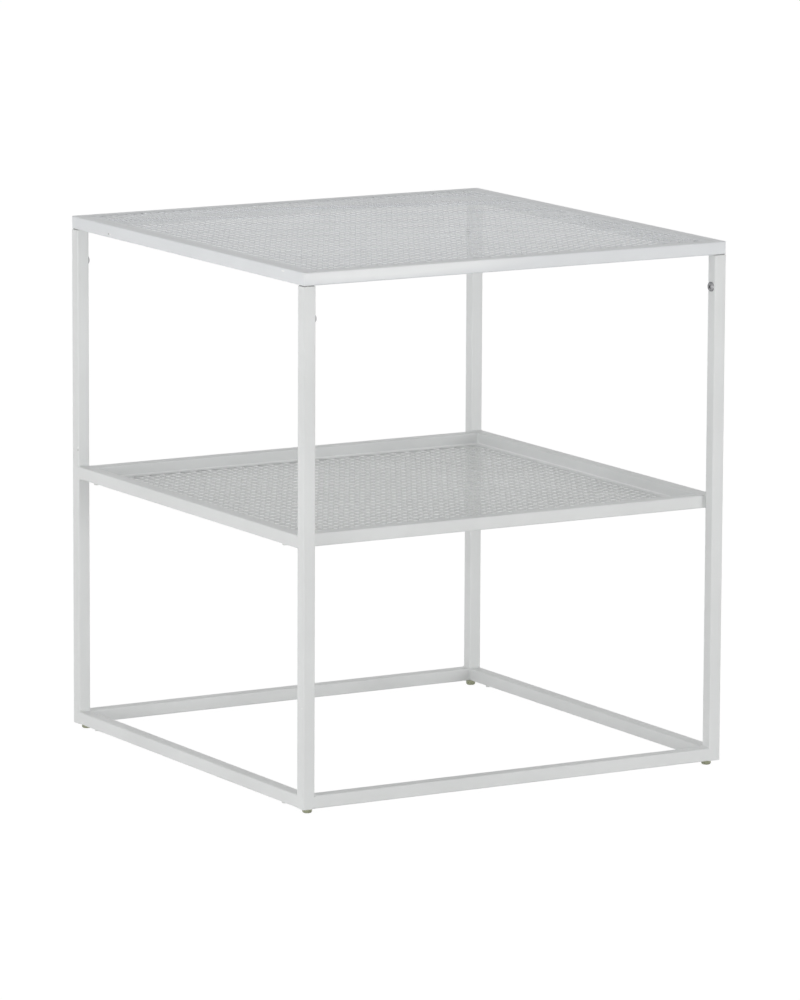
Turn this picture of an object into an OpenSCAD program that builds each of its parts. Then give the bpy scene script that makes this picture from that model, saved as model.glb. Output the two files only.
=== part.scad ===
// Square coffee table of welded square tube, with a perforated top and a perforated shelf.
// Origin on the floor, under the middle of the table. X to the right, Y to the back, Z up.

/* [Frame] */
// Width of the table over its tubes, the same from side to side and from front to back
table_w = 550; // [400:5:700]
// Height of the frame, from the underside of the base rails to the top
frame_h = 601; // [450:1:750]
// Height of the shelf rails' underside over the underside of the base rails
shelf_h = 292.5; // [150:0.5:380]
// Gap between the legs and the shelf's front and back rails
shelf_setback = 1; // [0.5:0.5:20]
// Gap between the top frame and the upper end of each leg
top_seam = 0.7; // [0.2:0.1:0.9]

/* [Square tube] */
// Side of the square tube
tube_w = 15; // [14:0.5:25]
// Wall of the square tube
tube_wall = 1.2; // [1:0.1:1.5]
// Radius of the tube's long edges
tube_r = 1.8; // [1.6:0.1:2.5]
// Radius of the top frame's ground upright corners
corner_r = 2.5; // [1.5:0.5:4]

/* [Perforated sheets] */
// Thickness of the top sheet
top_sheet_t = 0.7; // [0.7:0.1:2]
// Thickness of the shelf sheet
shelf_sheet_t = 1; // [0.7:0.1:2]
// Gap between a sheet's edge and the rails around it
sheet_fit = 0.2; // [0.1:0.1:0.3]
// Depth of the top sheet's face below the top of its frame
sheet_drop = 0.6; // [0.2:0.1:3]
// Diameter of the punched holes
hole_d = 12; // [5:0.5:16]
// Distance between neighbouring holes, in staggered columns
hole_pitch = 18; // [18:1:40]
// Least unpunched border of the top sheet
top_border = 9.5; // [4:0.5:40]
// Least unpunched border of the shelf sheet
shelf_border = 5.5; // [4:0.5:40]

/* [Spigots and bolts] */
// Length of the spigots that reach down into the legs
spigot_len = 48; // [42:1:80]
// Wall of the spigots
spigot_wall = 1.2; // [1:0.1:1.4]
// Gap between a spigot and the leg's bore, on each side
spigot_fit = 0.2; // [0.1:0.05:0.3]
// Distance from the underside of the top frame down to the bolts
bolt_drop = 37; // [20:0.5:37]
// Diameter of the bolt's shank
bolt_d = 5; // [4:0.5:5]
// Length of the bolt under its head
bolt_len = 10; // [8:0.5:10]
// Diameter of the bolt's head
bolt_head_d = 11; // [9:0.1:12]
// Height of the bolt's head
bolt_head_h = 2.4; // [2.2:0.1:4.5]
// Radius of the bolt head's outer edge
bolt_edge_r = 1.6; // [0.5:0.1:2.1]
// Width of each slot of the cross recess
recess_w = 1.2; // [0.8:0.1:1.6]
// Length of each slot of the cross recess
recess_len = 6; // [4:0.5:7]
// Depth of the cross recess
recess_depth = 1.3; // [1:0.1:1.8]
// Gap between the bolt and the holes that it passes through, all round
bolt_fit = 0.25; // [0.15:0.05:0.4]
// Gap between the bolt and its nut, all round
thread_fit = 0.05; // [0.02:0.01:0.1]
// Distance across the flats of the weld nut
nut_af = 8; // [7.5:0.5:8]
// Thickness of the weld nut
nut_t = 4; // [3:0.5:4.5]

/* [Feet and plugs] */
// Height of the feet under the legs
foot_h = 6; // [4:0.5:10]
// Diameter of the feet
foot_d = 11.2; // [8:0.2:13]
// Radius of the feet's lower edge
foot_edge_r = 2.4; // [1:0.2:3]
// Distance from a leg's middle inwards to its foot, along both rails
foot_inset = 4; // [0:0.5:7]
// Thickness of the plates that close the legs' lower ends
end_plate_t = 1.5; // [1:0.5:3]
// Gap between an end plate and the leg's bore, on each side
end_plate_fit = 0.1; // [0.05:0.05:0.3]
// Diameter of the plugs' heads
plug_head_d = 6; // [5.5:0.5:8]
// Height of the plugs' heads
plug_head_h = 3; // [2:0.5:3.5]
// Radius of the plug head's lower edge
plug_edge_r = 0.8; // [0.2:0.1:1.5]
// Diameter of the plugs' stems
plug_stem_d = 4; // [3:0.5:4.5]
// Length of a plug's stem inside the tube, past its wall
plug_grip = 2; // [1:0.5:4]
// Gap between a plug's stem and its hole, all round
plug_fit = 0.15; // [0.1:0.05:0.3]
// Distance from the front legs to the front plugs, along the side rails
front_plug_inset = 40.5; // [20:0.5:80]
// Distance from the back legs to the back plugs, along the side rails
back_plug_inset = 31.5; // [20:0.5:80]

/* [Hidden] */
$fn = 48;

// Quarter turns that put a front piece on each side
FRONT = 0;
RIGHT = 90;
BACK = 180;
LEFT = 270;

// The bore of a folded tube keeps a small radius at least
least_bore_r = 0.3;
bore_r = max(least_bore_r, tube_r - tube_wall);
bore_w = tube_w - 2 * tube_wall;

// Plan: half the way between the legs, the middle of a leg, and half the table
inner_half = table_w / 2 - tube_w;
leg_at = inner_half + tube_w / 2;
foot_at = leg_at - foot_inset;
plug_rows = [front_plug_inset - inner_half, inner_half - back_plug_inset];
span = 2 * inner_half;
shelf_rail_at = inner_half - shelf_setback - tube_w / 2;
shelf_depth = 2 * (shelf_rail_at - tube_w / 2);

// Heights over the floor
top_z = foot_h + frame_h;
ring_z = top_z - tube_w;
leg_len = ring_z - top_seam - foot_h;
shelf_z = foot_h + shelf_h;
bolt_z = ring_z - bolt_drop;

spigot_w = bore_w - 2 * spigot_fit;
nut_at = tube_wall + spigot_fit + spigot_wall;
column_step = hole_pitch * cos(30);

white = [0.86, 0.87, 0.86];
zinc = [0.6, 0.61, 0.62];
amber = [0.62, 0.62, 0.42, 0.8];

// Solid section of the tube: a square with rounded corners
module rounded_square(side, r) {
    square([side, side - 2 * r], center = true);
    square([side - 2 * r, side], center = true);
    for (x = [-1, 1], y = [-1, 1])
        translate([x, y] * (side / 2 - r))
            circle(r = r);
}

module hollow_square(side, r, hole, hole_r) {
    difference() {
        rounded_square(side, r);
        rounded_square(hole, hole_r);
    }
}

// Tube along X, with its middle over the origin and its underside on z = 0
module lying_tube(len) {
    translate([-len / 2, 0, tube_w / 2])
        rotate([0, 90, 0])
            linear_extrude(len)
                hollow_square(tube_w, tube_r, bore_w, bore_r);
}

// Front rail of the top frame: both ends are mitred, and its corners are ground round
module top_rail(turn) {
    color(white)
        rotate(turn)
            translate([0, 0, ring_z])
                intersection() {
                    translate([0, -leg_at, 0])
                        lying_tube(table_w);
                    linear_extrude(tube_w)
                        polygon([[0, 0], [-table_w / 2, -table_w / 2], [table_w / 2, -table_w / 2]]);
                    linear_extrude(tube_w)
                        rounded_square(table_w, corner_r);
                }
}

// Rail that is welded between two pieces which stand as far apart as the legs
module plain_rail(turn, at, z) {
    color(white)
        rotate(turn)
            translate([0, -at, z])
                lying_tube(span);
}

// Side rail between the legs, with two vent holes in its lower wall
module side_rail(side, z) {
    color(white)
        translate([side * leg_at, 0, z])
            difference() {
                rotate(90)
                    lying_tube(span);
                for (y = plug_rows)
                    translate([0, y, -1])
                        cylinder(r = plug_stem_d / 2 + plug_fit, h = tube_wall + 2);
            }
}

// Staggered round holes that fill the middle of a sheet and leave its border whole
module hole_field(width, depth, border) {
    columns = floor((width / 2 - border - hole_d / 2) / column_step);
    for (i = [-columns : columns]) {
        shift = i % 2 == 0 ? 0 : hole_pitch / 2;
        rows = floor((depth / 2 - border - hole_d / 2 - shift) / hole_pitch);
        for (j = [-rows - 2 * shift / hole_pitch : rows])
            translate([i * column_step, j * hole_pitch + shift])
                circle(d = hole_d);
    }
}

module perforated_sheet(width, depth, thickness, border, z) {
    color(white)
        translate([0, 0, z])
            linear_extrude(thickness)
                difference() {
                    square([width, depth], center = true);
                    hole_field(width, depth, border);
                }
}

// Hole for a bolt through whatever stands between two distances from the leg's inner face
module bolt_hole(from, to) {
    translate([from, 0, 0])
        rotate([0, 90, 0])
            cylinder(r = bolt_d / 2 + bolt_fit, h = to - from);
}

// Puts a piece that is modelled at the leg's inner face, facing outwards, at each leg's bolt
module at_bolt(side, row) {
    translate([side * inner_half, row * leg_at, bolt_z])
        rotate([0, 0, side > 0 ? 0 : 180])
            children();
}

// Squares the leg's outer corners where a rail's outer face runs on over the ground weld
module ground_weld(z, towards) {
    translate([0, 0, z + tube_r])
        linear_extrude(tube_w - 2 * tube_r)
            translate(towards * (tube_w / 2 - tube_r))
                translate([min(0, towards.x), min(0, towards.y)] * tube_r)
                    square(tube_r);
}

// Leg with its bolt hole, and its welds to the base rails and to the shelf's side rail
module leg(side, row) {
    color(white)
        difference() {
            translate([side * leg_at, row * leg_at, foot_h])
                difference() {
                    union() {
                        linear_extrude(leg_len)
                            rounded_square(tube_w, tube_r);
                        ground_weld(0, [-side, row]);
                        ground_weld(0, [side, -row]);
                        ground_weld(shelf_h, [side, -row]);
                    }
                    translate([0, 0, -1])
                        linear_extrude(leg_len + 2)
                            rounded_square(bore_w, bore_r);
                }
            at_bolt(side, row)
                bolt_hole(-1, tube_wall + 1);
        }
}

// Short tube under each corner of the top frame, which slides into the leg
module spigot(side, row) {
    color(white)
        difference() {
            translate([side * leg_at, row * leg_at, ring_z - spigot_len])
                linear_extrude(spigot_len)
                    hollow_square(spigot_w, bore_r, spigot_w - 2 * spigot_wall, least_bore_r);
            at_bolt(side, row)
                bolt_hole(tube_wall, nut_at + 1);
        }
}

// Hexagonal weld nut with its corners up and down
module weld_nut() {
    translate([nut_at, 0, 0])
        rotate([0, 90, 0])
            difference() {
                cylinder(d = nut_af / cos(30), h = nut_t, $fn = 6);
                translate([0, 0, -1])
                    cylinder(r = bolt_d / 2 + thread_fit, h = nut_t + 2);
            }
}

// Half section of a round button, with its rounded lower edge on the X axis
module button_section(r, h, edge_r) {
    translate([0, edge_r])
        square([r, h - edge_r]);
    square([r - edge_r, edge_r]);
    intersection() {
        translate([r - edge_r, edge_r])
            circle(r = edge_r);
        translate([r - edge_r, 0])
            square([edge_r, edge_r]);
    }
}

// Low round head with a cross recess, on a plain shank
module leg_bolt() {
    rotate([0, 90, 0])
        difference() {
            rotate_extrude() {
                translate([0, -bolt_head_h])
                    button_section(bolt_head_d / 2, bolt_head_h, bolt_edge_r);
                square([bolt_d / 2, bolt_len]);
            }
            for (turn = [0, 90])
                rotate(turn + 45)
                    translate([-recess_len / 2, -recess_w / 2, -bolt_head_h - 1])
                        cube([recess_len, recess_w, recess_depth + 1]);
        }
}

module foot() {
    rotate_extrude()
        button_section(foot_d / 2, foot_h, foot_edge_r);
}

// Plug with its head under the rail and its stem through the vent hole
module vent_plug() {
    rotate_extrude() {
        translate([0, -plug_head_h])
            button_section(plug_head_d / 2, plug_head_h, plug_edge_r);
        square([plug_stem_d / 2, tube_wall + plug_grip]);
    }
}

module top_sheet() {
    width = span - 2 * sheet_fit;
    perforated_sheet(width, width, top_sheet_t, top_border, top_z - sheet_drop - top_sheet_t);
}

module shelf_sheet() {
    width = span - 2 * sheet_fit;
    depth = shelf_depth - 2 * sheet_fit;
    perforated_sheet(width, depth, shelf_sheet_t, shelf_border, shelf_z);
}

module leg_end_plates() {
    side_w = bore_w - 2 * end_plate_fit;
    color(white)
        for (x = [-1, 1], y = [-1, 1])
            translate([x * leg_at, y * leg_at, foot_h])
                linear_extrude(end_plate_t)
                    rounded_square(side_w, bore_r);
}

module leg_bolts() {
    color(zinc)
        for (side = [-1, 1], row = [-1, 1])
            at_bolt(side, row)
                leg_bolt();
}

module weld_nuts() {
    color(zinc)
        for (side = [-1, 1], row = [-1, 1])
            at_bolt(side, row)
                weld_nut();
}

module feet() {
    color(amber)
        for (x = [-1, 1], y = [-1, 1])
            translate([x * foot_at, y * foot_at, 0])
                foot();
}

module vent_plugs() {
    color(white)
        for (x = [-1, 1], y = plug_rows, z = [foot_h, shelf_z])
            translate([x * leg_at, y, z])
                vent_plug();
}

top_rail(FRONT);  // top_rail_front
top_rail(RIGHT);  // top_rail_right
top_rail(BACK);  // top_rail_back
top_rail(LEFT);  // top_rail_left
top_sheet();
spigot(-1, -1);  // spigot_front_left
spigot(1, -1);  // spigot_front_right
spigot(-1, 1);  // spigot_back_left
spigot(1, 1);  // spigot_back_right
leg(-1, -1);  // leg_front_left
leg(1, -1);  // leg_front_right
leg(-1, 1);  // leg_back_left
leg(1, 1);  // leg_back_right
plain_rail(FRONT, leg_at, foot_h);  // base_rail_front
side_rail(1, foot_h);  // base_rail_right
plain_rail(BACK, leg_at, foot_h);  // base_rail_back
side_rail(-1, foot_h);  // base_rail_left
plain_rail(FRONT, shelf_rail_at, shelf_z);  // shelf_rail_front
side_rail(1, shelf_z);  // shelf_rail_right
plain_rail(BACK, shelf_rail_at, shelf_z);  // shelf_rail_back
side_rail(-1, shelf_z);  // shelf_rail_left
shelf_sheet();
leg_end_plates();
leg_bolts();
weld_nuts();
feet();
vent_plugs();
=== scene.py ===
"""Square coffee table of white square tube, with a perforated top and a perforated shelf."""
import math

import bmesh
import bpy
from mathutils import Matrix, Vector


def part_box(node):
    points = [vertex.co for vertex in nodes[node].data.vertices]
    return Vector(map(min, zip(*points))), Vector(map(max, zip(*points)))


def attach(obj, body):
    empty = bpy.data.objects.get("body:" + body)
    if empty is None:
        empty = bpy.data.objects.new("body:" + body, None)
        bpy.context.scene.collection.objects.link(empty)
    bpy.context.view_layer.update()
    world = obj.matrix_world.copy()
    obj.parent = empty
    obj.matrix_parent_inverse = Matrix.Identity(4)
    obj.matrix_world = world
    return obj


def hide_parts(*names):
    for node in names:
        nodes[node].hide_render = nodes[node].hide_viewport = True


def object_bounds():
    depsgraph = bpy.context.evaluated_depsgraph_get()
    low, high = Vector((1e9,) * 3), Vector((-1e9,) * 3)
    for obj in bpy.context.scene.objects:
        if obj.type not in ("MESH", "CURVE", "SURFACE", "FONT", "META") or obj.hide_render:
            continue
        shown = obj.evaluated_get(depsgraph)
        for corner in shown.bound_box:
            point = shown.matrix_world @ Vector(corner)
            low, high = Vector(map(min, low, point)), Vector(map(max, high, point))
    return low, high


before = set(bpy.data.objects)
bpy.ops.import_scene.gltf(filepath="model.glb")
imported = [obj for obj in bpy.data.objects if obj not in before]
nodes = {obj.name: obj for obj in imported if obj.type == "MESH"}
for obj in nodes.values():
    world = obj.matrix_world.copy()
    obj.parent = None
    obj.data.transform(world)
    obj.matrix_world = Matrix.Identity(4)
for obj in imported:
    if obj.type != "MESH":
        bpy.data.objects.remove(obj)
cad_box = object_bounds()

MM = 0.001
SIDES = ("front", "right", "back", "left")
CORNERS = ("front_left", "front_right", "back_left", "back_right")
TOP_FRAME_NODES = [f"top_rail_{side}" for side in SIDES]
SPIGOT_NODES = [f"spigot_{corner}" for corner in CORNERS]
LOWER_FRAME_NODES = [f"{part}_{side}" for part in ("base_rail", "shelf_rail") for side in SIDES]
LOWER_FRAME_NODES += [f"leg_{corner}" for corner in CORNERS] + ["leg_end_plates"]

# The camera looks from the front left, a little downwards
CAMERA_AT = (-3.8363, -6.5695, 1.6144)
CAMERA_TURN = math.radians(-30.338)
CAMERA_DOWN = math.radians(9.874)
CAMERA_ROLL = math.radians(0.2585)
PICTURE_HEIGHT_MM = 36
LENS_MM = 240.39

# The punched pattern of the sheets
HOLE_PITCH = 12 * MM
HOLE_RADIUS = 4.05 * MM
COLUMN_STEP = HOLE_PITCH * math.cos(math.radians(30))
HOLE_CORNERS = 12
CORNER_TURN = math.radians(30)
TOP_BORDER = 3 * MM
SHELF_BORDER = 5 * MM
SHEET_FIT = 0.2 * MM
MERGE_DISTANCE = 0.02 * MM

# Welds where the rails meet the legs, sunk a little into both
WELD_LENGTH = 12.4 * MM
WELD_LEG = 1.8 * MM
WELD_ROOT = 0.3 * MM
WELD_HOLLOW = 0.12

# Edges flatter than this are shaded smooth
SMOOTH_ANGLE = math.radians(40)


# Mesh tools

def deselect():
    if bpy.context.mode != "OBJECT":
        bpy.ops.object.mode_set(mode="OBJECT")
    bpy.ops.object.select_all(action="DESELECT")


def only(piece):
    deselect()
    piece.select_set(True)
    bpy.context.view_layer.objects.active = piece


def settle(piece):
    """Puts the object's place and turn into its mesh."""
    only(piece)
    bpy.ops.object.transform_apply(location=True, rotation=True, scale=True)
    return piece


def named(name):
    piece = bpy.context.active_object
    piece.name = name
    piece.data.name = name
    return piece


def apply_modifier(piece, kind, **settings):
    only(piece)
    bpy.ops.object.modifier_add(type=kind)
    modifier = piece.modifiers[-1]
    for key, value in settings.items():
        setattr(modifier, key, value)
    bpy.ops.object.modifier_apply(modifier=modifier.name)


def join(pieces, name):
    deselect()
    for piece in pieces:
        piece.select_set(True)
    bpy.context.view_layer.objects.active = pieces[0]
    bpy.ops.object.join()
    return named(name)


def weld_points(piece, distance):
    only(piece)
    bpy.ops.object.mode_set(mode="EDIT")
    bpy.ops.mesh.select_all(action="SELECT")
    bpy.ops.mesh.remove_doubles(threshold=distance)
    bpy.ops.object.mode_set(mode="OBJECT")


def face_outwards(piece):
    """Turns all normals outwards, so that the volume inside them is positive."""
    only(piece)
    bpy.ops.object.mode_set(mode="EDIT")
    bpy.ops.mesh.select_all(action="SELECT")
    bpy.ops.mesh.normals_make_consistent(inside=False)
    if bmesh.from_edit_mesh(piece.data).calc_volume(signed=True) < 0:
        bpy.ops.mesh.flip_normals()
    bpy.ops.object.mode_set(mode="OBJECT")


# Shader tools

class Signal:
    """A shader socket that takes part in sums."""

    def __init__(self, paint, socket):
        self.paint = paint
        self.socket = socket

    def _math(self, operation, first, second):
        return self.paint.node("ShaderNodeMath", {"operation": operation}, {0: first, 1: second})

    def __add__(self, other):
        return self._math("ADD", self, other)

    __radd__ = __add__

    def __mul__(self, other):
        return self._math("MULTIPLY", self, other)

    __rmul__ = __mul__


class Paint:
    """A material under a Principled shader, with the nodes that vary it."""

    def __init__(self, name, sockets=None):
        self.material = bpy.data.materials.new(name)
        self.material.use_nodes = True
        self.tree = self.material.node_tree
        self.shader = self.tree.nodes["Principled BSDF"]
        for key, value in (sockets or {}).items():
            self.shader.inputs[key].default_value = value

    def node(self, kind, settings=None, sockets=None, out=0):
        made = self.tree.nodes.new(kind)
        for key, value in (settings or {}).items():
            setattr(made, key, value)
        for key, value in (sockets or {}).items():
            self.put(made.inputs[key], value)
        return Signal(self, made.outputs[out])

    def put(self, socket, value):
        if isinstance(value, Signal):
            self.tree.links.new(value.socket, socket)
        else:
            socket.default_value = value

    def feed(self, name, value):
        self.put(self.shader.inputs[name], value)

    def place(self):
        return self.node("ShaderNodeTexCoord", out="Object")

    def noise(self, scale, detail=2.0, roughness=0.5):
        return self.node("ShaderNodeTexNoise", {},
                         {"Vector": self.place(), "Scale": scale, "Detail": detail, "Roughness": roughness},
                         out="Fac")

    def span(self, signal, low, high, out_low, out_high):
        return self.node("ShaderNodeMapRange", {"clamp": True},
                         {"Value": signal, "From Min": low, "From Max": high,
                          "To Min": out_low, "To Max": out_high})

    def nearness(self, middle, reach):
        """1 round the middle of a spot, and 0 beyond its reach along each axis."""
        offset = self.node("ShaderNodeVectorMath", {"operation": "SUBTRACT"}, {0: self.place(), 1: middle})
        scaled = self.node("ShaderNodeVectorMath", {"operation": "DIVIDE"}, {0: offset, 1: reach})
        away = self.node("ShaderNodeVectorMath", {"operation": "LENGTH"}, {0: scaled}, out="Value")
        return self.span(away, 0.5, 1, 1, 0)

    def blend(self, share, first, second):
        return self.node("ShaderNodeMix", {"data_type": "RGBA"},
                         {"Factor": share, 6: first, 7: second}, out=2)

    def bump(self, height, strength, distance):
        self.feed("Normal", self.node("ShaderNodeBump", {},
                                      {"Height": height, "Strength": strength, "Distance": distance}))


# Full and thin tones of the batches of coat: the top's are a little cooler
TOP_TONES = ((0.85, 0.867, 0.882, 1), (0.812, 0.829, 0.843, 1))
LOWER_TONES = ((0.838, 0.85, 0.845, 1), (0.80, 0.812, 0.806, 1))
# The top sheet's tones are the top's made lighter: painted light on the sheet
TOP_SHEET_PAINTED_LIGHT_TONES = ((0.893, 0.913, 0.933, 1), (0.857, 0.877, 0.897, 1))
# The groove's tones are far lighter than the lower coat: painted light that lifts the shade in the corner
# between the shelf's sheet and its rails
GROOVE_PAINTED_LIGHT_TONES = ((0.965, 0.97, 0.965, 1), (0.94, 0.945, 0.94, 1))
# Light and dark specks in the coat; some spots use them as painted highlights and painted shadows
LIGHT_SPECK_AND_GLINT = (0.97, 0.97, 0.96, 1)
DARK_SPECK_AND_SHADOW = (0.42, 0.41, 0.39, 1)
# A painted highlight for the front rail of the top
PAINTED_SHEEN = (0.93, 0.945, 0.945, 1)

# Dark and light tones of the other materials
# The first pair darkens the spigots: painted shade for the thin seam under the top
SEAM_SHADE_TONES = ((0.27, 0.27, 0.27, 1), (0.52, 0.52, 0.51, 1))
PLASTIC_TONES = ((0.74, 0.75, 0.735, 1), (0.79, 0.80, 0.785, 1))
ZINC_TONES = ((0.28, 0.28, 0.29, 1), (0.42, 0.42, 0.43, 1))
RUBBER_TONES = ((0.35, 0.37, 0.24, 1), (0.47, 0.49, 0.34, 1))

# Spots in the coat: place, reach along each axis and tone. The first is a painted highlight: a lighter band
# along the upper part of the top's front rail, on its left half
TOP_SPOTS = (((-0.16, -0.275, 0.6045), (0.2, 0.003, 0.0125), PAINTED_SHEEN),
             ((-0.275, 0.183, 0.5963), (0.001, 0.0015, 0.0012), DARK_SPECK_AND_SHADOW),
             ((-0.275, 0.178, 0.5963), (0.001, 0.0015, 0.0012), LIGHT_SPECK_AND_GLINT),
             # A painted highlight near the upper edge of the top's left rail
             ((-0.275, -0.2275, 0.6035), (0.0013, 0.0045, 0.0011), LIGHT_SPECK_AND_GLINT))
# The first two are a painted highlight above a painted shadow, as on a small blob of coat; the third is a
# light speck
LOWER_SPOTS = (((-0.275, 0.2611, 0.3357), (0.0012, 0.0012, 0.0012), LIGHT_SPECK_AND_GLINT),
               ((-0.275, 0.2611, 0.3327), (0.001, 0.001, 0.001), DARK_SPECK_AND_SHADOW),
               ((-0.275, -0.2719, 0.1206), (0.0011, 0.0011, 0.0011), LIGHT_SPECK_AND_GLINT))


def powder_coat(name, tones, spots=()):
    """Satin white powder coat with fine orange peel, hardly visible clouds and a few spots, among them
    painted highlights and painted shadows.
    """
    paint = Paint(name)
    full, thin = tones
    clouds = paint.noise(9, detail=3)
    colour = paint.blend(paint.span(clouds, 0.35, 0.65, 0, 1), thin, full)
    for place, reach, tone in spots:
        colour = paint.blend(paint.nearness(place, reach), colour, tone)
    paint.feed("Base Color", colour)
    peel = paint.noise(950, detail=1)
    sheen = paint.noise(140) * 0.8 + peel * 0.2
    paint.feed("Roughness", paint.span(sheen, 0.3, 0.7, 0.34, 0.46))
    paint.bump(peel, 0.25, 0.00006)
    return paint.material


def seam_shade_coat(name):
    """Dark, mottled coat for the spigots that slide into the legs: painted shade for the thin seam under the
    top, where they show.
    """
    paint = Paint(name, {"Metallic": 0.3})
    mottle = paint.noise(260, detail=4)
    paint.feed("Base Color", paint.blend(paint.span(mottle, 0.5, 0.65, 0, 1), *SEAM_SHADE_TONES))
    paint.feed("Roughness", paint.span(mottle, 0.3, 0.7, 0.45, 0.65))
    paint.bump(mottle, 0.3, 0.00005)
    return paint.material


def white_plastic(name):
    """Matt moulded plastic in the colour of the coat."""
    paint = Paint(name)
    grain = paint.noise(700, detail=2)
    paint.feed("Base Color", paint.blend(grain, *PLASTIC_TONES))
    paint.feed("Roughness", paint.span(grain, 0.3, 0.7, 0.5, 0.62))
    paint.bump(grain, 0.2, 0.00003)
    return paint.material


def zinc_steel(name):
    """Bright zinc plate, slightly brushed."""
    paint = Paint(name, {"Metallic": 1.0})
    stain = paint.noise(420, detail=3)
    paint.feed("Base Color", paint.blend(stain, *ZINC_TONES))
    paint.feed("Roughness", paint.span(stain, 0.3, 0.7, 0.34, 0.46))
    paint.bump(paint.noise(2500), 0.15, 0.00002)
    return paint.material


def clear_rubber(name):
    """Clear polyurethane with an amber tint."""
    paint = Paint(name, {"IOR": 1.48, "Transmission Weight": 0.55})
    dust = paint.noise(600, detail=3)
    paint.feed("Base Color", paint.blend(dust, *RUBBER_TONES))
    paint.feed("Roughness", paint.span(dust, 0.3, 0.7, 0.22, 0.4))
    return paint.material


# The perforated sheets

# Where each corner in a quarter of the hole meets the edge of its rectangle, in half widths and half heights
CELL_EDGE = ((1, 0), (1, 1), (0.5, 1), (0, 1))


def hole_cell():
    """One hole in its own rectangle of the sheet, as a flat ring of faces round the origin."""
    deselect()
    bpy.ops.mesh.primitive_circle_add(vertices=HOLE_CORNERS, radius=HOLE_RADIUS)
    cell = named("hole_cell")
    bpy.ops.object.mode_set(mode="EDIT")
    bpy.ops.mesh.select_all(action="SELECT")
    bpy.ops.mesh.extrude_edges_move()
    mesh = bmesh.from_edit_mesh(cell.data)
    for point in (v for v in mesh.verts if v.select):
        step = round(math.atan2(abs(point.co.y), abs(point.co.x)) / CORNER_TURN)
        across, up = CELL_EDGE[step]
        point.co = (math.copysign(across * COLUMN_STEP / 2, point.co.x),
                    math.copysign(up * HOLE_PITCH / 2, point.co.y), 0)
    bmesh.update_edit_mesh(cell.data)
    bpy.ops.object.mode_set(mode="OBJECT")
    return cell


def copy_of(piece, name):
    twin = piece.copy()
    twin.data = piece.data.copy()
    twin.name = name
    bpy.context.scene.collection.objects.link(twin)
    return twin


def cell_block(cell, columns, rows, first_column, first_row, name):
    """Every second column of holes, each with the same rows."""
    block = copy_of(cell, name)
    apply_modifier(block, "ARRAY", count=rows, use_relative_offset=False, use_constant_offset=True,
                   constant_offset_displace=(0, HOLE_PITCH, 0))
    apply_modifier(block, "ARRAY", count=columns, use_relative_offset=False, use_constant_offset=True,
                   constant_offset_displace=(2 * COLUMN_STEP, 0, 0))
    block.location = (first_column * COLUMN_STEP, first_row * HOLE_PITCH, 0)
    return settle(block)


def plain_edge(width, depth, columns, row_ends, name):
    """The unpunched border: from the field's stepped edge to the edge of the sheet."""
    half_step = COLUMN_STEP / 2
    mesh = bmesh.new()

    def patch(x0, y0, x1, y1):
        if x1 - x0 > 1e-6 and y1 - y0 > 1e-6:
            mesh.faces.new([mesh.verts.new((x, y, 0)) for x, y in ((x0, y0), (x1, y0), (x1, y1), (x0, y1))])

    left = -columns * COLUMN_STEP - half_step
    patch(-width / 2, -depth / 2, left, depth / 2)
    patch(-left, -depth / 2, width / 2, depth / 2)
    for column in range(-columns, columns + 1):
        low, high = row_ends[column % 2]
        x = column * COLUMN_STEP
        patch(x - half_step, -depth / 2, x + half_step, low)
        patch(x - half_step, high, x + half_step, depth / 2)
    data = bpy.data.meshes.new(name)
    mesh.to_mesh(data)
    mesh.free()
    edge = bpy.data.objects.new(name, data)
    bpy.context.scene.collection.objects.link(edge)
    return edge


def perforated_sheet(node, border, name):
    """A sheet with true round holes in the place of the CAD sheet."""
    low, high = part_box(node)
    width, depth = high.x - low.x, high.y - low.y
    columns = math.floor((width / 2 - border - HOLE_RADIUS) / COLUMN_STEP)
    parts, row_ends = [], {}
    cell = hole_cell()
    for odd in (0, 1):
        shift = HOLE_PITCH / 2 * odd
        rows = math.floor((depth / 2 - border - HOLE_RADIUS - shift) / HOLE_PITCH)
        first_row, count = -rows - odd / 2, 2 * rows + 1 + odd
        row_ends[odd] = ((first_row - 0.5) * HOLE_PITCH, (first_row + count - 0.5) * HOLE_PITCH)
        first_column = -columns if columns % 2 == odd else -columns + 1
        parts.append(cell_block(cell, -first_column + 1, count, first_column, first_row, f"{name}_{odd}"))
    parts.append(plain_edge(width, depth, columns, row_ends, f"{name}_edge"))
    bpy.data.objects.remove(cell)
    sheet = join(parts, name)
    weld_points(sheet, MERGE_DISTANCE)
    face_outwards(sheet)
    sheet.location.z = (low.z + high.z) / 2
    settle(sheet)
    apply_modifier(sheet, "SOLIDIFY", thickness=high.z - low.z, offset=0)
    face_outwards(sheet)
    bpy.ops.object.shade_smooth_by_angle(angle=SMOOTH_ANGLE)
    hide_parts(node)
    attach(sheet, "root")
    return sheet


# Beads of coat and weld

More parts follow.
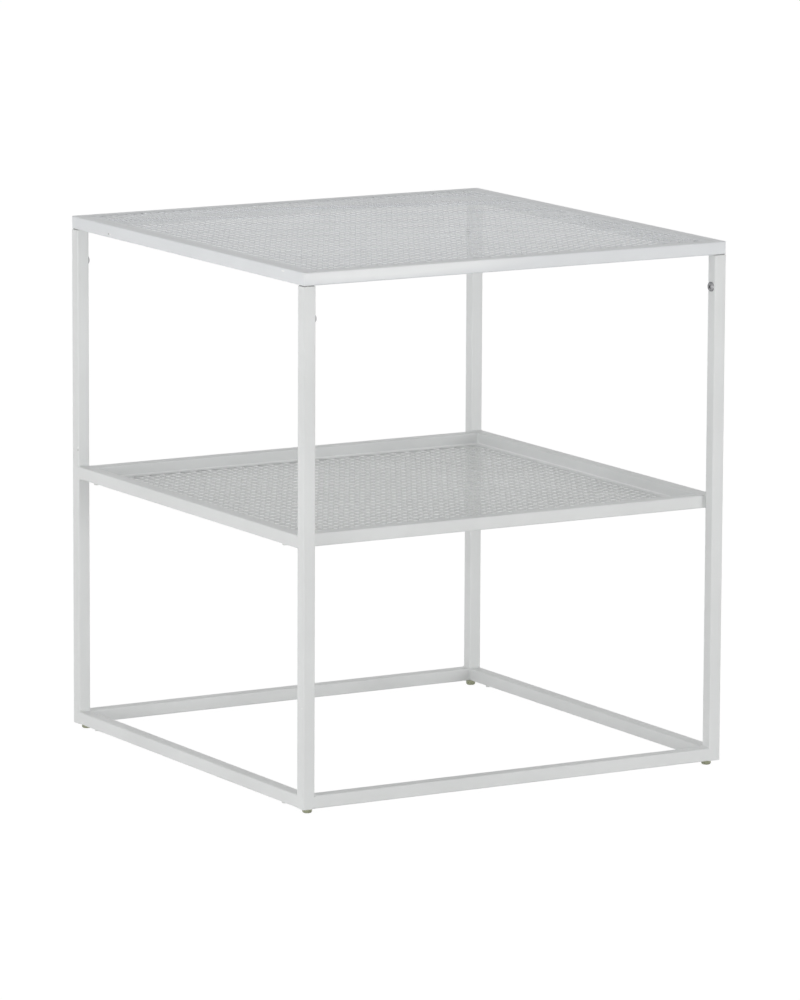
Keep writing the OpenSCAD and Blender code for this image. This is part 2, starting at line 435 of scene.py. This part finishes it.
def bead_ring(half_x, half_y, z, profile, name):
    """A bead along the inner edge of four rails. The profile gives points as (inwards, up) in mm."""
    deselect()
    bpy.ops.mesh.primitive_plane_add(size=1)
    bead = named(name)
    bpy.ops.object.mode_set(mode="EDIT")
    bpy.ops.mesh.select_all(action="SELECT")
    bpy.ops.mesh.delete(type="ONLY_FACE")
    bpy.ops.mesh.select_all(action="SELECT")
    for step, (inwards, up) in enumerate(profile):
        if step:
            bpy.ops.mesh.extrude_edges_move()
        mesh = bmesh.from_edit_mesh(bead.data)
        for point in (v for v in mesh.verts if v.select):
            point.co = (math.copysign(half_x - inwards * MM, point.co.x),
                        math.copysign(half_y - inwards * MM, point.co.y), z + up * MM)
        bmesh.update_edit_mesh(bead.data)
    bpy.ops.mesh.select_all(action="DESELECT")
    bpy.ops.mesh.select_non_manifold()
    bpy.ops.mesh.bridge_edge_loops()
    bpy.ops.object.mode_set(mode="OBJECT")
    face_outwards(bead)
    bpy.ops.object.shade_smooth_by_angle(angle=SMOOTH_ANGLE)
    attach(bead, "root")
    return bead


def weld_fillet():
    """Hollow weld with its corner at the origin: its length lies along X, its legs along Y and Z."""
    deselect()
    bpy.ops.mesh.primitive_cube_add(size=1)
    bead = named("weld_fillet")
    bead.scale = (WELD_LENGTH, WELD_LEG + WELD_ROOT, WELD_LEG + WELD_ROOT)
    bead.location = (0, (WELD_LEG - WELD_ROOT) / 2, (WELD_LEG - WELD_ROOT) / 2)
    settle(bead)
    bpy.ops.object.mode_set(mode="EDIT")
    bpy.ops.mesh.select_all(action="DESELECT")
    mesh = bmesh.from_edit_mesh(bead.data)
    for edge in mesh.edges:
        edge.select = all(point.co.y > 0 and point.co.z > 0 for point in edge.verts)
    bmesh.update_edit_mesh(bead.data)
    bpy.ops.mesh.bevel(offset=WELD_LEG * 0.97, segments=5, profile=WELD_HOLLOW)
    bpy.ops.object.mode_set(mode="OBJECT")
    face_outwards(bead)
    bpy.ops.object.shade_smooth_by_angle(angle=SMOOTH_ANGLE)
    return bead


def weld_places():
    """Corner lines of the welds, each with the directions of its two legs."""
    inner, outer = (corner.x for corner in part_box("leg_front_right"))
    middle = (inner + outer) / 2
    base_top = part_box("base_rail_front")[1].z
    shelf_low, shelf_high = (corner.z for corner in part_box("shelf_rail_left"))
    tray_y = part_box("shelf_rail_back")[0].y
    tray_z = (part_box("shelf_sheet")[1].z + shelf_high) / 2
    up, down = Vector((0, 0, 1)), Vector((0, 0, -1))
    places = []
    for side in (-1, 1):
        for row in (-1, 1):
            along_x, along_y = Vector((-side, 0, 0)), Vector((0, -row, 0))
            places.append(((side * inner, row * middle, base_top), along_x, up))
            places.append(((side * middle, row * inner, base_top), along_y, up))
            places.append(((side * middle, row * inner, shelf_high), along_y, up))
            places.append(((side * middle, row * inner, shelf_low), along_y, down))
            places.append(((side * inner, row * tray_y, tray_z), along_x, along_y))
    return places


def make_welds():
    pattern = weld_fillet()
    beads = []
    for number, (place, first, second) in enumerate(weld_places()):
        bead = copy_of(pattern, f"weld_{number}")
        turn = Matrix((first.cross(second), first, second)).transposed().to_4x4()
        bead.matrix_world = Matrix.Translation(place) @ turn
        beads.append(settle(bead))
    bpy.data.objects.remove(pattern)
    welds = join(beads, "weld_fillets")
    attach(welds, "root")
    return welds


# Light, floor and camera

FLOOR_SIZE = 120
FLOOR_WHITE = 0.88
FLOOR_GLOW = 1.09
FLOOR_GLOW_SHARE = 0.88

# Strengths of the world's glow, and how high its walls reach, as the Z of a direction
WALL_LIGHT = 1.9
WALL_TOP = 0.25
CEILING_LIGHT = 0.39

# Each lamp's name, direction from the table, distance, width and height in metres, and power in watts
LAMPS = (("key", (0.32, -1, 0.05), 3.0, 0.36, 0.6, 14.2),
         ("left_fill", (-1, -0.22, 0.05), 2.6, 1.4, 1.6, 17.7))


def area_light(name, direction, distance, width, height, power):
    """A soft lamp that faces the middle of the table."""
    aim = (cad_box[0] + cad_box[1]) / 2
    way = Vector(direction).normalized()
    data = bpy.data.lights.new(name, "AREA")
    data.shape = "ELLIPSE"
    data.size = width
    data.size_y = height
    data.energy = power
    lamp = bpy.data.objects.new(name, data)
    lamp.location = aim + way * distance
    lamp.rotation_euler = way.to_track_quat("Z", "Y").to_euler()
    bpy.context.scene.collection.objects.link(lamp)


def seen_mix(tree, hidden, strength, share):
    """Mixes a share of white glow over the hidden shader for camera, glossy and transmission rays."""
    path = tree.nodes.new("ShaderNodeLightPath")
    glow = tree.nodes.new("ShaderNodeEmission")
    glow.inputs["Strength"].default_value = strength
    either = tree.nodes.new("ShaderNodeMath")
    either.operation = "MAXIMUM"
    tree.links.new(path.outputs["Is Camera Ray"], either.inputs[0])
    tree.links.new(path.outputs["Is Glossy Ray"], either.inputs[1])
    any_seen = tree.nodes.new("ShaderNodeMath")
    any_seen.operation = "MAXIMUM"
    tree.links.new(either.outputs[0], any_seen.inputs[0])
    tree.links.new(path.outputs["Is Transmission Ray"], any_seen.inputs[1])
    part = tree.nodes.new("ShaderNodeMath")
    part.operation = "MULTIPLY"
    part.inputs[1].default_value = share
    tree.links.new(any_seen.outputs[0], part.inputs[0])
    mix = tree.nodes.new("ShaderNodeMixShader")
    tree.links.new(part.outputs[0], mix.inputs["Fac"])
    tree.links.new(hidden, mix.inputs[1])
    tree.links.new(glow.outputs[0], mix.inputs[2])
    return mix.outputs[0]


def make_floor():
    deselect()
    bpy.ops.mesh.primitive_plane_add(size=FLOOR_SIZE)
    floor = named("floor")
    material = bpy.data.materials.new("pale_floor")
    material.use_nodes = True
    tree = material.node_tree
    shader = tree.nodes["Principled BSDF"]
    shader.inputs["Base Color"].default_value = (FLOOR_WHITE, FLOOR_WHITE, FLOOR_WHITE, 1)
    shader.inputs["Roughness"].default_value = 0.9
    seen = seen_mix(tree, shader.outputs[0], FLOOR_GLOW, FLOOR_GLOW_SHARE)
    tree.links.new(seen, tree.nodes["Material Output"].inputs["Surface"])
    floor.data.materials.append(material)


def make_world():
    """White walls that are brightest round the horizon, under a dimmer ceiling."""
    world = bpy.data.worlds.new("studio")
    bpy.context.scene.world = world
    world.use_nodes = True
    tree = world.node_tree
    sky = tree.nodes["Background"]
    sky.inputs["Color"].default_value = (1, 1, 1, 1)
    place = tree.nodes.new("ShaderNodeTexCoord")
    parts = tree.nodes.new("ShaderNodeSeparateXYZ")
    tree.links.new(place.outputs["Generated"], parts.inputs[0])
    wall = tree.nodes.new("ShaderNodeMapRange")
    wall.interpolation_type = "SMOOTHSTEP"
    tree.links.new(parts.outputs["Z"], wall.inputs["Value"])
    wall.inputs["From Min"].default_value = 0
    wall.inputs["From Max"].default_value = WALL_TOP
    wall.inputs["To Min"].default_value = WALL_LIGHT
    wall.inputs["To Max"].default_value = CEILING_LIGHT
    tree.links.new(wall.outputs[0], sky.inputs["Strength"])
    seen = seen_mix(tree, sky.outputs[0], 1.0, 1.0)
    tree.links.new(seen, tree.nodes["World Output"].inputs["Surface"])


def make_camera():
    data = bpy.data.cameras.new("camera")
    data.sensor_fit = "VERTICAL"
    data.sensor_height = PICTURE_HEIGHT_MM
    data.sensor_width = PICTURE_HEIGHT_MM
    data.lens = LENS_MM
    data.clip_end = 200
    camera = bpy.data.objects.new("camera", data)
    turn = (Matrix.Rotation(CAMERA_TURN, 4, "Z") @ Matrix.Rotation(math.pi / 2 - CAMERA_DOWN, 4, "X")
            @ Matrix.Rotation(CAMERA_ROLL, 4, "Z"))
    camera.matrix_world = Matrix.Translation(CAMERA_AT) @ turn
    bpy.context.scene.collection.objects.link(camera)
    bpy.context.scene.camera = camera


def dress(node_names, material):
    for name in node_names:
        slots = nodes[name].data.materials
        slots.clear()
        slots.append(material)


make_camera()
make_world()
make_floor()
for lamp in LAMPS:
    area_light(*lamp)

top_coat = powder_coat("white_top_coat", TOP_TONES, TOP_SPOTS)
# A lighter copy of the top's coat: painted light on the top sheet and its bead
top_sheet_painted_light_coat = powder_coat("white_top_sheet_coat", TOP_SHEET_PAINTED_LIGHT_TONES)
lower_coat = powder_coat("white_lower_coat", LOWER_TONES, LOWER_SPOTS)
# Painted light for the shelf's corner groove
groove_painted_light_coat = powder_coat("white_groove_coat", GROOVE_PAINTED_LIGHT_TONES)
dress(TOP_FRAME_NODES, top_coat)
dress(LOWER_FRAME_NODES, lower_coat)
# The spigots show only through the seam under the top; their dark coat is painted shade there
dress(SPIGOT_NODES, seam_shade_coat("seam_shade_coat"))
dress(["vent_plugs"], white_plastic("white_plastic"))
dress(["leg_bolts", "weld_nuts"], zinc_steel("zinc_steel"))
dress(["feet"], clear_rubber("clear_rubber"))

# Each sheet with its border and coat, and the bead of coat that fills the groove between it and its rails.
# The shelf's bead is much lighter: painted light against the shade in that corner
SHEETS = (
    ("top_sheet", TOP_BORDER, top_sheet_painted_light_coat, "punched_top", top_sheet_painted_light_coat, "top_bead",
     ((-0.9, 0.33), (-0.35, 0.15), (0.3, 0.05), (1.1, 0), (1.1, -0.1), (-0.9, -0.1))),
    ("shelf_sheet", SHELF_BORDER, lower_coat, "punched_shelf", groove_painted_light_coat, "shelf_bead",
     ((-0.3, 3.0), (0.1, 1.9), (0.6, 1.1), (1.2, 0.5), (2.1, 0.12), (5.2, 0.04), (5.2, -0.1), (-0.3, -0.1))),
)
for node, border, coat, name, bead_coat, bead_name, profile in SHEETS:
    sheet = perforated_sheet(node, border, name)
    sheet.data.materials.clear()
    sheet.data.materials.append(coat)
    low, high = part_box(node)
    bead = bead_ring(high.x + SHEET_FIT, high.y + SHEET_FIT, high.z, profile, bead_name)
    bead.data.materials.append(bead_coat)

make_welds().data.materials.append(lower_coat)

bpy.context.scene.view_settings.view_transform = "Standard"
